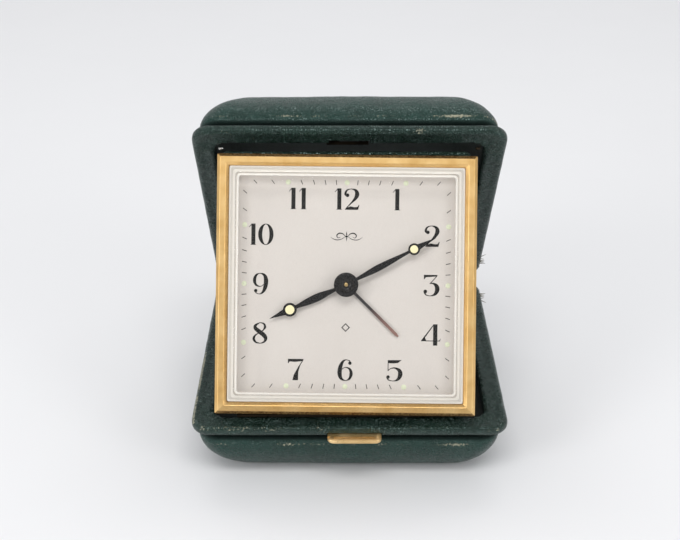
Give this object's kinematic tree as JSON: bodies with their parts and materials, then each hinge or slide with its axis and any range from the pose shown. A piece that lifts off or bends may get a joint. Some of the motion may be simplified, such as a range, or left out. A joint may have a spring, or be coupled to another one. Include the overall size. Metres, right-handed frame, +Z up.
{
  "type": "travel alarm clock",
  "caption": "Folding travel alarm clock: a square wind-up clock that stands hinged in the mouth of a leather-covered clamshell case.",
  "frame": {"origin": "centre of the flat bottom of the base half, on the surface it stands on", "axes": "+X along the case hinge, to the right of the dial; +Y to the back, towards the case hinge; +Z up"},
  "size_m": [0.081, 0.0915, 0.0879],
  "materials": {
    "leather": "fine-grained, dark bluish green, worn at the edges",
    "lining": "matt, dark",
    "steel": "satin",
    "brass": "satin",
    "gold": "gold-plated, satin",
    "acrylic": "clear, polished",
    "dial": "silvery cream, finely brushed",
    "hands": "gloss black"
  },
  "bodies": {
    "base": {"base_cover": "leather", "base_shell": "steel", "base_lining": "lining", "base_rim": "leather", "base_frame": "steel", "base_hinge_leaf": "brass", "case_hinge_pin": "steel", "clock_hinge_bracket": "brass", "clock_hinge_pin": "steel", "latch_spring": "steel"},
    "latch": {"latch_tab": "gold"},
    "lid": {"lid_cover": "leather", "lid_shell": "steel", "lid_lining": "lining", "lid_rim": "leather", "lid_frame": "steel", "lid_hinge_leaf": "brass", "catch_plate": "brass", "rest_pin_left": "steel", "rest_pin_right": "steel"},
    "clock": {"clock_hinge_leaf": "brass", "clock_surround": "leather", "bezel": "gold", "crystal": "acrylic", "dial": "dial", "movement_case": "steel", "front_plate": "brass", "back_plate": "brass", "pillar_1": "brass", "pillar_2": "brass", "pillar_3": "brass", "pillar_4": "brass", "back_screw_1": "steel", "back_screw_2": "steel", "alarm_barrel": "brass"},
    "going_barrel": {"time_barrel": "brass", "time_mainspring": "steel"},
    "time_key": {"time_winding_key": "gold"},
    "centre": {"centre_wheel": "brass"},
    "third": {"third_wheel": "brass"},
    "fourth": {"fourth_wheel": "brass"},
    "escape": {"escape_wheel": "steel"},
    "pallet": {"pallet_fork": "steel"},
    "balance": {"balance_wheel": "brass", "hairspring": "steel"},
    "regulator": {"regulator_lever": "steel"},
    "minute": {"minute_arbor": "steel", "time_set_knob": "gold", "minute_hand": "hands", "hub_cap": "hands"},
    "motion": {"motion_wheel": "brass"},
    "hour": {"hour_wheel": "brass", "hour_hand": "hands"},
    "alarm_setting": {"alarm_wheel": "brass", "alarm_hand": "hands"},
    "alarm_set": {"alarm_set_wheel": "brass", "alarm_set_knob": "gold"},
    "alarm_key": {"alarm_winding_key": "gold"},
    "hammer": {"alarm_hammer": "steel"},
    "alarm_stop": {"alarm_stop_button": "gold"}
  },
  "joints": [
    {"name": "lid_hinge", "type": "hinge", "parent": "base", "child": "lid", "pos_m": [0, 0.04095, 0.018], "axis": [-1, 0, 0], "range_deg": [0, 60]},
    {"name": "clock_fold", "type": "hinge", "parent": "base", "child": "clock", "pos_m": [-0.0009, -0.03245, 0.017], "axis": [-1, 0, 0], "range_deg": [0, 62]},
    {"name": "latch_press", "type": "slide", "parent": "base", "child": "latch", "axis": [0, 1, 0], "range_m": [0, 0.001], "stiffness_N_per_m": 500, "springref_m": -0.001, "deforming": ["latch_spring"]},
    {"name": "minute_spin", "type": "hinge", "parent": "clock", "child": "minute", "pos_m": [-0.0009, -0.01676, 0.04694], "axis": [0, 0.8858, -0.4641], "continuous": true},
    {"name": "motion_spin", "type": "hinge", "parent": "clock", "child": "motion", "pos_m": [-0.0069, -0.01676, 0.04694], "axis": [0, 0.8858, -0.4641], "continuous": true},
    {"name": "hour_spin", "type": "hinge", "parent": "clock", "child": "hour", "pos_m": [-0.0009, -0.01676, 0.04694], "axis": [0, 0.8858, -0.4641], "continuous": true},
    {"name": "alarm_hand_spin", "type": "hinge", "parent": "clock", "child": "alarm_setting", "pos_m": [-0.0009, -0.01676, 0.04694], "axis": [0, 0.8858, -0.4641], "continuous": true},
    {"name": "alarm_set_spin", "type": "hinge", "parent": "clock", "child": "alarm_set", "pos_m": [-0.01443, -0.01448, 0.0513], "axis": [0, 0.8858, -0.4641], "continuous": true},
    {"name": "escape_spin", "type": "hinge", "parent": "clock", "child": "escape", "pos_m": [0.01199, -0.01159, 0.05681], "axis": [0, 0.8858, -0.4641], "continuous": true},
    {"name": "fourth_spin", "type": "hinge", "parent": "clock", "child": "fourth", "pos_m": [0.00508, -0.01103, 0.05789], "axis": [0, 0.8858, -0.4641], "continuous": true},
    {"name": "third_spin", "type": "hinge", "parent": "clock", "child": "third", "pos_m": [-0.00259, -0.01232, 0.05542], "axis": [0, 0.8858, -0.4641], "continuous": true},
    {"name": "centre_spin", "type": "hinge", "parent": "clock", "child": "centre", "pos_m": [-0.0009, -0.01676, 0.04694], "axis": [0, 0.8858, -0.4641], "continuous": true},
    {"name": "barrel_spin", "type": "hinge", "parent": "clock", "child": "going_barrel", "pos_m": [-0.01179, -0.02182, 0.03729], "axis": [0, 0.8858, -0.4641], "continuous": true},
    {"name": "time_key_turn", "type": "hinge", "parent": "clock", "child": "time_key", "pos_m": [-0.01179, -0.02182, 0.03729], "axis": [0, 0.8858, -0.4641], "continuous": true},
    {"name": "alarm_key_turn", "type": "hinge", "parent": "clock", "child": "alarm_key", "pos_m": [0.0123, -0.02252, 0.03596], "axis": [0, 0.8858, -0.4641], "continuous": true},
    {"name": "pallet_rock", "type": "hinge", "parent": "clock", "child": "pallet", "pos_m": [0.01707, -0.01074, 0.05845], "axis": [0, 0.8858, -0.4641], "range_deg": [-5, 5]},
    {"name": "balance_swing", "type": "hinge", "parent": "clock", "child": "balance", "pos_m": [0.0196, -0.00751, 0.06461], "axis": [0, 0.8858, -0.4641], "range_deg": [-180, 180], "stiffness_Nm_per_rad": 0.000004, "deforming": ["hairspring"]},
    {"name": "regulator_turn", "type": "hinge", "parent": "clock", "child": "regulator", "pos_m": [0.0196, -0.00751, 0.06461], "axis": [0, 0.8858, -0.4641], "range_deg": [-15, 15]},
    {"name": "hammer_strike", "type": "hinge", "parent": "clock", "child": "hammer", "pos_m": [-0.0219, -0.01166, 0.05668], "axis": [0, 0.8858, -0.4641], "range_deg": [-6, 6], "stiffness_Nm_per_rad": 0.001},
    {"name": "alarm_stop_press", "type": "slide", "parent": "clock", "child": "alarm_stop", "axis": [0, -0.8858, 0.4641], "range_m": [0, 0.0012], "stiffness_N_per_m": 300, "springref_m": -0.001}
  ],
  "couplings": [
    {"joint": "motion_spin", "follows": "minute_spin", "ratio": -0.33333},
    {"joint": "hour_spin", "follows": "minute_spin", "ratio": 0.083333},
    {"joint": "alarm_set_spin", "follows": "alarm_hand_spin", "ratio": -1},
    {"joint": "fourth_spin", "follows": "escape_spin", "ratio": -0.125},
    {"joint": "third_spin", "follows": "escape_spin", "ratio": 0.016667},
    {"joint": "centre_spin", "follows": "escape_spin", "ratio": -0.0020833},
    {"joint": "barrel_spin", "follows": "escape_spin", "ratio": 0.00034722}
  ]
}
